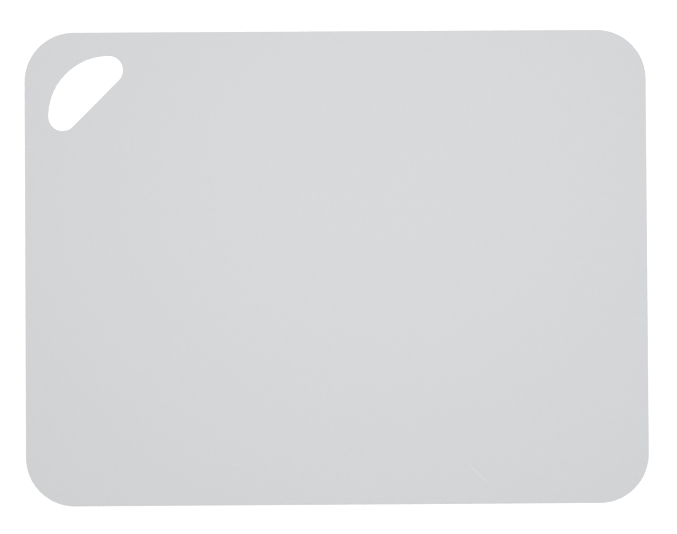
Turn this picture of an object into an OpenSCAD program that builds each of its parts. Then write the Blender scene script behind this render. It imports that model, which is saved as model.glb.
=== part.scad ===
// Flexible cutting mat: one thin plastic sheet with rounded corners and a hand hole.
// Millimetres. The origin is the middle of the underside, +X runs along the length,
// +Y runs across to the edge beside the hand hole, and +Z is up.

/* [Sheet] */
// Length of the sheet, along X
sheet_l = 381; // [300:1:460]
// Width of the sheet, along Y
sheet_w = 290; // [220:1:360]
// Thickness of the sheet
sheet_t = 1.5; // [0.8:0.1:3]
// Radius of the four corners
corner_r = 30; // [10:1:50]

/* [Hand hole] */
// Width of the rim between the hole and each of the two edges beside it
rim_w = 14.2; // [10:0.1:25]
// Radius of the outer side, a quarter circle that bows towards the corner
hole_arc_r = 37.2; // [30:0.1:50]
// Radius of the two round ends
hole_end_r = 8.9; // [6:0.1:11]

/* [Hidden] */
$fn = 96;

// Light, slightly cool grey of the plastic
mat_grey = [0.84, 0.845, 0.855];
// How far a cutting shape reaches past the face that it cuts
cut_margin = 1;
// Centre of the hole's quarter circle, beside the far left corner of the sheet
hole_arc_centre = [
    -sheet_l / 2 + rim_w + hole_arc_r,
    sheet_w / 2 - rim_w - hole_arc_r
];
// Distance from the quarter circle's centre to the centre of each round end
end_reach = hole_arc_r - hole_end_r;
// How far inside the round ends the straight inner side starts, so that it leaves no sliver
side_overlap = 0.001;
// How far that side lies from the line between the round ends' centres, on each axis
side_shift = (hole_end_r - side_overlap) / sqrt(2);

// A rectangle of l by w with corners of radius r, centred on the origin
module rounded_rectangle(l, w, r) {
    square([l - 2 * r, w], center = true);
    square([l, w - 2 * r], center = true);
    for (x = [-1, 1], y = [-1, 1])
        translate([x * (l / 2 - r), y * (w / 2 - r)])
            circle(r = r);
}

// The hand hole, seen from above, around the centre of its quarter circle.
// Its round ends lie straight above and straight left of that centre.
module hand_hole() {
    outer_end = [0, end_reach];
    left_end = [-end_reach, 0];
    inwards = [side_shift, -side_shift];
    far = 2 * hole_arc_r;

    // The bowed outer side, down to the line between the round ends
    intersection() {
        circle(r = hole_arc_r);
        polygon([outer_end, [0, far], [-far, far], [-far, 0], left_end]);
    }
    // The band from that line to the straight inner side
    polygon([outer_end, outer_end + inwards, left_end + inwards, left_end]);
    for (end = [outer_end, left_end])
        translate(end)
            circle(r = hole_end_r);
}

// The whole mat, cut from one sheet of even thickness
module mat_sheet() {
    color(mat_grey)
        difference() {
            linear_extrude(height = sheet_t)
                rounded_rectangle(sheet_l, sheet_w, corner_r);
            translate([hole_arc_centre.x, hole_arc_centre.y, -cut_margin])
                linear_extrude(height = sheet_t + 2 * cut_margin)
                    hand_hole();
        }
}

mat_sheet();
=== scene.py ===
"""A flexible cutting mat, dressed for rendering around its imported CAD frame.

Metres, in the row frame: the origin is the middle of the underside, +X runs along the
length and +Y across to the edge beside the hand hole.
"""

import math

import bmesh
import bpy
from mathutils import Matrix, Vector, noise
from mathutils.geometry import delaunay_2d_cdt


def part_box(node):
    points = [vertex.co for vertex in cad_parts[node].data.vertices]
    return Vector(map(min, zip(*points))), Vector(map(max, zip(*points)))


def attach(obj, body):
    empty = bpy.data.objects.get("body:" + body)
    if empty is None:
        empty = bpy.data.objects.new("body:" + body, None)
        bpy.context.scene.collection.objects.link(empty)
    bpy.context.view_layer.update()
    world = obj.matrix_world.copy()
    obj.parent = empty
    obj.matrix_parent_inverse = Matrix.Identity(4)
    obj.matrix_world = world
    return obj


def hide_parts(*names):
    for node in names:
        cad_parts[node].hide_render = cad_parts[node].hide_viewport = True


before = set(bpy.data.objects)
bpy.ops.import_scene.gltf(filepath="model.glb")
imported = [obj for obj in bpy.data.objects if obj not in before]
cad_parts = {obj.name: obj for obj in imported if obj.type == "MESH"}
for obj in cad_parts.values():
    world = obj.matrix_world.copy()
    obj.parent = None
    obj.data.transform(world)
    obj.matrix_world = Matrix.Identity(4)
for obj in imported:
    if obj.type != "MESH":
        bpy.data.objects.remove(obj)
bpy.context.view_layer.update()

MM = 0.001

# The sheet, from the frame
NODE = "mat_sheet"
sheet_low, sheet_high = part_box(NODE)
HALF_L = sheet_high.x
HALF_W = sheet_high.y
THICKNESS = sheet_high.z - sheet_low.z

# Outline sizes, as in the part's source
CORNER_R = 30 * MM
RIM_W = 14.2 * MM
HOLE_ARC_R = 37.2 * MM
HOLE_END_R = 8.9 * MM

# Cut edges: how far they are broken, and how many faces round them
EDGE_R = 0.25 * MM
EDGE_STEPS = 4
# Flat ring beside each rounded edge, which keeps the faces' shading flat
RING_W = 0.5 * MM
# Spacing of the points on the faces, and the gap that they leave beside an outline
GRID = 6 * MM
GRID_MARGIN = 3.5 * MM
# Gap that they leave beside a knife mark
MARK_MARGIN = 2 * MM
# Points round each corner, and round each stretch of the hole
CORNER_STEPS = 24
HOLE_STEPS = 24
# Points closer than this are one point
SAME_POINT = 0.001 * MM
# Triangulation that keeps only what lies inside the outline
INSIDE_ONLY = 1
# Two triangles join if they are flat and square to within these angles, in degrees
JOIN_FLAT = 1
JOIN_SQUARE = 20

# How far the flexible sheet lifts off the surface at most, and over what length
LIFT = 0.35 * MM
LIFT_LENGTH = 240 * MM
LIFT_SEED = 0.37

# The one knife stroke in the photo: a nick, then a cut, as points in millimetres
KNIFE_MARKS = [
    [(77.7, -116.9), (78.1, -117.5), (78.5, -118.1)],
    [(79.4, -119.8), (82.0, -122.7), (84.8, -125.4), (87.5, -127.9), (89.9, -130.3), (92.8, -131.7)],
]
MARK_HALF_W = 0.4 * MM
MARK_DEPTH = 0.03 * MM
# A mark's width at its ends, as a share of its full width
MARK_TAPER = 0.25
# Attribute that is 1 along the bottom of a mark and 0 beside it
MARK_NAME = "knife_mark"

# The plastic: its colour, and how far each kind of spot makes it lighter or darker
PLASTIC = (0.650, 0.657, 0.673)
PATCH_SHADE = 0.02
MOTTLE_SHADE = 0.03
MARK_SHADE = 0.14
PLASTIC_IOR = 1.49
# Roughness of the faces, and the share of it that the cut edges keep
ROUGH_LOW = 0.48
ROUGH_HIGH = 0.64
EDGE_ROUGH = 0.78
# Spots per metre: broad patches, waves from moulding, fine mottling and the matte grain
PATCHES = 14
WAVES = 220
MOTTLING = 900
GRAIN = 1800
WAVE_DEPTH = 0.05 * MM
GRAIN_DEPTH = 0.05 * MM

# The floor: a glow of its own keeps it as white as the photo's background, and grows with
# the distance from the mat, up to a reach in metres, as the softbox's light fades
FLOOR_R = 20
FLOOR_SIDES = 64
FLOOR_COLOUR = (0.92, 0.92, 0.92, 1)
FLOOR_ROUGH = 0.8
GLOW_NEAR = 0.13
GLOW_FAR = 0.68
GLOW_REACH = 1.3

# The overhead softbox: its place, its length and width in metres and its power in watts
SOFTBOX_PLACE = (0.040, 0.072, 1.0)
SOFTBOX_SIZE = (0.8, 0.6)
SOFTBOX_POWER = 6.41
# White light from all round, and how bright the white wall shows behind the floor
WHITE = (1, 1, 1, 1)
FILL_LIGHT = 0.45
WALL_LIGHT = 1.0

# The camera, as the sheet's edges in the photo place it over the top face: its lens and
# sensor in millimetres, its place and its turn from straight down
LENS = 85
SENSOR = 36
CAMERA_PLACE = (-2.71 * MM, -11.8 * MM, THICKNESS + 979.26 * MM)
CAMERA_DEGREES = (0.7104, -0.2242, -0.3508)


def arc(centre, radius, start, end, steps):
    """Points on an arc from start to end, in degrees, both ends included."""
    angles = [math.radians(start + (end - start) * i / steps) for i in range(steps + 1)]
    return [
        Vector((centre[0] + radius * math.cos(a), centre[1] + radius * math.sin(a)))
        for a in angles
    ]


def loop_through(stretches, spacing):
    """One closed loop through stretches of points, with the gaps between them split evenly."""
    loop = []
    for i, stretch in enumerate(stretches):
        loop += stretch
        start = stretch[-1]
        end = stretches[(i + 1) % len(stretches)][0]
        parts = math.floor((end - start).length / spacing)
        loop += [start.lerp(end, k / parts) for k in range(1, parts)]
    return [p for i, p in enumerate(loop) if (p - loop[i - 1]).length > SAME_POINT]


def sheet_outline(inset):
    """The sheet's outline, moved inwards, anticlockwise."""
    x = HALF_L - CORNER_R
    y = HALF_W - CORNER_R
    corners = [(x, y, 0), (-x, y, 90), (-x, -y, 180), (x, -y, 270)]
    return loop_through(
        [arc((cx, cy), CORNER_R - inset, a, a + 90, CORNER_STEPS) for cx, cy, a in corners],
        GRID,
    )


def hole_outline(grow):
    """The hand hole's outline, moved into the sheet, anticlockwise."""
    centre = Vector((-HALF_L + RIM_W + HOLE_ARC_R, HALF_W - RIM_W - HOLE_ARC_R))
    reach = HOLE_ARC_R - HOLE_END_R
    upper_end = centre + Vector((0, reach))
    left_end = centre + Vector((-reach, 0))
    end_r = HOLE_END_R + grow
    return loop_through(
        [
            arc(centre, HOLE_ARC_R + grow, 90, 180, HOLE_STEPS),
            arc(left_end, end_r, 180, 315, HOLE_STEPS),
            arc(upper_end, end_r, -45, 90, HOLE_STEPS),
        ],
        GRID,
    )


def inside(point, loop):
    """Whether a point lies inside a closed loop."""
    found = False
    for i, b in enumerate(loop):
        a = loop[i - 1]
        if (a.y > point.y) != (b.y > point.y):
            if point.x < a.x + (point.y - a.y) * (b.x - a.x) / (b.y - a.y):
                found = not found
    return found


def lift_at(x, y):
    """How high the sheet's underside lies above the surface it rests on."""
    wave = noise.noise(Vector((x / LIFT_LENGTH, y / LIFT_LENGTH, LIFT_SEED)))
    return LIFT * max(0, min(1, 0.5 + wave)) ** 2


def edge_profile():
    """(inset, height) from the underside, round both broken edges, to the top face."""
    lower = []
    for i in range(EDGE_STEPS + 1):
        a = math.radians(90 * i / EDGE_STEPS)
        lower.append((EDGE_R * (1 - math.sin(a)), EDGE_R * (1 - math.cos(a))))
    upper = [(inset, THICKNESS - z) for inset, z in reversed(lower)]
    flat_inset = EDGE_R + RING_W
    return [(flat_inset, 0)] + lower + upper + [(flat_inset, THICKNESS)]


def mark_lines(course):
    """A knife mark as three lines of (point, depth): its two lips and its bottom."""
    path = [Vector(p) * MM for p in course]
    last = len(path) - 1
    lines = [[], [], []]
    for i, p in enumerate(path):
        at_end = i in (0, last)
        along = (path[min(i + 1, last)] - path[max(i - 1, 0)]).normalized()
        across = Vector((-along.y, along.x)) * MARK_HALF_W
        if at_end:
            across *= MARK_TAPER
        lines[0].append((p - across, 0))
        lines[1].append((p, 0 if at_end else MARK_DEPTH))
        lines[2].append((p + across, 0))
    return lines


def face_points():
    """Grid points on a face, clear of both outlines."""
    outer = sheet_outline(GRID_MARGIN)
    hole = hole_outline(GRID_MARGIN)
    nx = round(HALF_L / GRID)
    ny = round(HALF_W / GRID)
    points = [
        Vector((HALF_L * i / nx, HALF_W * j / ny))
        for i in range(-nx + 1, nx)
        for j in range(-ny + 1, ny)
    ]
    return [p for p in points if inside(p, outer) and not inside(p, hole)]


def fill_face(bm, outer, hole, z, upwards, lines=()):
    """Fills a face of the sheet between two rings of vertices that are already there."""
    marked = bm.verts.layers.float[MARK_NAME]
    verts = outer + hole
    points = [v.co.xy for v in verts]
    n = len(outer)
    edges = [(i, (i + 1) % n) for i in range(n)]
    edges += [(n + i, n + (i + 1) % len(hole)) for i in range(len(hole))]
    for line in lines:
        for i, (p, depth) in enumerate(line):
            if i:
                edges.append((len(points) - 1, len(points)))
            vert = bm.verts.new((p.x, p.y, z + lift_at(p.x, p.y) - depth))
            vert[marked] = depth / MARK_DEPTH
            points.append(p)
            verts.append(vert)
    near = [p for line in lines for p, depth in line]
    for p in face_points():
        if all((p - q).length > MARK_MARGIN for q in near):
            points.append(p)
            verts.append(bm.verts.new((p.x, p.y, z + lift_at(p.x, p.y))))
    _, _, faces, origin, _, _ = delaunay_2d_cdt(points, edges, [], INSIDE_ONLY, SAME_POINT / 10)
    hole_loop = points[n:n + len(hole)]
    for face in faces:
        corners = [origin[i][0] for i in face]
        middle = sum((points[i] for i in corners), Vector((0, 0))) / len(corners)
        if not inside(middle, hole_loop):
            ring = [verts[i] for i in corners]
            bm.faces.new(ring if upwards else reversed(ring))


def bridge(bm, lower, upper, outwards):
    """Quads between two rings of the same length."""
    for i in range(len(lower)):
        quad = [lower[i - 1], lower[i], upper[i], upper[i - 1]]
        bm.faces.new(quad if outwards else reversed(quad))


def new_object(name, data):
    """A new object in the scene, around a mesh, a light or a camera."""
    item = bpy.data.objects.new(name, data)
    bpy.context.scene.collection.objects.link(item)
    return item


def mesh_object(name, bm):
    """A new object in the scene from a finished bmesh."""
    mesh = bpy.data.meshes.new(name)
    bm.to_mesh(mesh)
    bm.free()
    return new_object(name, mesh)


def make_mat():
    """The sheet as one closed mesh, with broken edges, that lies almost flat."""
    bm = bmesh.new()
    bm.verts.layers.float.new(MARK_NAME)
    rings = {"outer": [], "hole": []}
    for inset, z in edge_profile():
        for side, loop in (("outer", sheet_outline(inset)), ("hole", hole_outline(inset))):
            rings[side].append(
                [bm.verts.new((p.x, p.y, z + lift_at(p.x, p.y))) for p in loop]
            )
    for side, outwards in (("outer", True), ("hole", False)):
        for lower, upper in zip(rings[side], rings[side][1:]):
            bridge(bm, lower, upper, outwards)
    marks = [line for course in KNIFE_MARKS for line in mark_lines(course)]
    fill_face(bm, rings["outer"][0], rings["hole"][0], 0, False)
    fill_face(bm, rings["outer"][-1], rings["hole"][-1], THICKNESS, True, marks)
    bmesh.ops.join_triangles(
        bm,
        faces=[f for f in bm.faces if len(f.verts) == 3],
        angle_face_threshold=math.radians(JOIN_FLAT),
        angle_shape_threshold=math.radians(JOIN_SQUARE),
    )
    for face in bm.faces:
        face.smooth = True
    return mesh_object("cutting_mat", bm)


def new_material(name):
    """A new material, with its node tree and its shader."""
    material = bpy.data.materials.new(name)
    material.use_nodes = True
    tree = material.node_tree
    return material, tree, tree.nodes["Principled BSDF"]


def spots(tree, scale, detail=2):
    """Soft random spots between 0 and 1, at a number of spots per metre."""
    coordinates = tree.nodes.new("ShaderNodeTexCoord")
    node = tree.nodes.new("ShaderNodeTexNoise")
    node.inputs["Scale"].default_value = scale
    node.inputs["Detail"].default_value = detail
    tree.links.new(coordinates.outputs["Object"], node.inputs["Vector"])
    return node.outputs["Fac"]


def between(tree, value, low, high, span=1):
    """A value from 0 to a span turned into one from low to high."""
    node = tree.nodes.new("ShaderNodeMapRange")
    node.inputs["From Max"].default_value = span
    node.inputs["To Min"].default_value = low
    node.inputs["To Max"].default_value = high
    tree.links.new(value, node.inputs["Value"])
    return node.outputs["Result"]


def combine(tree, operation, first, second):
    """Two values put together by one maths operation."""
    node = tree.nodes.new("ShaderNodeMath")
    node.operation = operation
    tree.links.new(first, node.inputs[0])
    tree.links.new(second, node.inputs[1])
    return node.outputs["Value"]


def flatness(tree):
    """1 on the sheet's two faces, down to 0 on its cut edges."""
    geometry = tree.nodes.new("ShaderNodeNewGeometry")
    size = tree.nodes.new("ShaderNodeVectorMath")
    size.operation = "ABSOLUTE"
    split = tree.nodes.new("ShaderNodeSeparateXYZ")
    tree.links.new(geometry.outputs["Normal"], size.inputs[0])
    tree.links.new(size.outputs["Vector"], split.inputs["Vector"])
    return split.outputs["Z"]


def relief(tree, height, depth, base=None):
    """A surface normal for relief of a given depth, on top of another one's if given."""
    node = tree.nodes.new("ShaderNodeBump")
    node.inputs["Distance"].default_value = depth
    tree.links.new(height, node.inputs["Height"])
    if base:
        tree.links.new(base, node.inputs["Normal"])
    return node.outputs["Normal"]


def make_plastic():
    """Matte plastic with faint patches, fine mottling, a grain and lighter knife marks."""
    material, tree, shader = new_material("mat_plastic")
    patches = spots(tree, PATCHES)
    mark = tree.nodes.new("ShaderNodeAttribute")
    mark.attribute_name = MARK_NAME

    shade = combine(
        tree,
        "ADD",
        between(tree, patches, 1 - PATCH_SHADE, 1 + PATCH_SHADE),
        between(tree, spots(tree, MOTTLING), -MOTTLE_SHADE, MOTTLE_SHADE),
    )
    shade = combine(tree, "ADD", shade, between(tree, mark.outputs["Fac"], 0, MARK_SHADE))
    colour = tree.nodes.new("ShaderNodeVectorMath")
    colour.operation = "SCALE"
    colour.inputs[0].default_value = PLASTIC
    tree.links.new(shade, colour.inputs["Scale"])
    tree.links.new(colour.outputs["Vector"], shader.inputs["Base Color"])

    rough = combine(
        tree,
        "MULTIPLY",
        between(tree, patches, ROUGH_LOW, ROUGH_HIGH),
        between(tree, flatness(tree), EDGE_ROUGH, 1),
    )
    tree.links.new(rough, shader.inputs["Roughness"])

    waves = relief(tree, spots(tree, WAVES, detail=1), WAVE_DEPTH)
    grain = relief(tree, spots(tree, GRAIN), GRAIN_DEPTH, waves)
    tree.links.new(grain, shader.inputs["Normal"])
    shader.inputs["IOR"].default_value = PLASTIC_IOR
    return material


def make_floor():
    """A wide, plain, pale floor under the mat."""
    bm = bmesh.new()
    bmesh.ops.create_circle(bm, cap_ends=True, segments=FLOOR_SIDES, radius=FLOOR_R)
    floor = mesh_object("floor", bm)
    material, tree, shader = new_material("floor")
    shader.inputs["Base Color"].default_value = FLOOR_COLOUR
    shader.inputs["Roughness"].default_value = FLOOR_ROUGH
    shader.inputs["Emission Color"].default_value = WHITE
    coordinates = tree.nodes.new("ShaderNodeTexCoord")
    distance = tree.nodes.new("ShaderNodeVectorMath")
    distance.operation = "LENGTH"
    tree.links.new(coordinates.outputs["Object"], distance.inputs[0])
    glow = between(tree, distance.outputs["Value"], GLOW_NEAR, GLOW_FAR, GLOW_REACH)
    tree.links.new(glow, shader.inputs["Emission Strength"])
    floor.data.materials.append(material)
    return floor


def make_softbox():
    """A soft light over the mat that shines straight down."""
    light = bpy.data.lights.new("softbox", "AREA")
    light.shape = "RECTANGLE"
    light.size, light.size_y = SOFTBOX_SIZE
    light.energy = SOFTBOX_POWER
    new_object("softbox", light).location = SOFTBOX_PLACE


def make_studio():
    """Even light from all round, in front of a wall that shows white."""
    world = bpy.data.worlds.new("studio")
    world.use_nodes = True
    tree = world.node_tree
    fill = tree.nodes["Background"]
    fill.inputs["Color"].default_value = WHITE
    fill.inputs["Strength"].default_value = FILL_LIGHT
    wall = tree.nodes.new("ShaderNodeBackground")
    wall.inputs["Color"].default_value = WHITE
    wall.inputs["Strength"].default_value = WALL_LIGHT
    path = tree.nodes.new("ShaderNodeLightPath")
    mix = tree.nodes.new("ShaderNodeMixShader")
    tree.links.new(path.outputs["Is Camera Ray"], mix.inputs["Fac"])
    tree.links.new(fill.outputs["Background"], mix.inputs[1])
    tree.links.new(wall.outputs["Background"], mix.inputs[2])
    tree.links.new(mix.outputs["Shader"], tree.nodes["World Output"].inputs["Surface"])
    bpy.context.scene.world = world


def make_camera():
    """The photo's camera, above the middle of the mat."""
    data = bpy.data.cameras.new("camera")
    data.lens = LENS
    data.sensor_width = SENSOR
    camera = new_object("camera", data)
    camera.location = CAMERA_PLACE
    camera.rotation_euler = [math.radians(a) for a in CAMERA_DEGREES]
    bpy.context.scene.camera = camera


mat = make_mat()
mat.data.materials.append(make_plastic())
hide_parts(NODE)
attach(mat, "root")

make_floor()
make_softbox()
make_studio()
make_camera()
bpy.context.scene.view_settings.view_transform = "Standard"
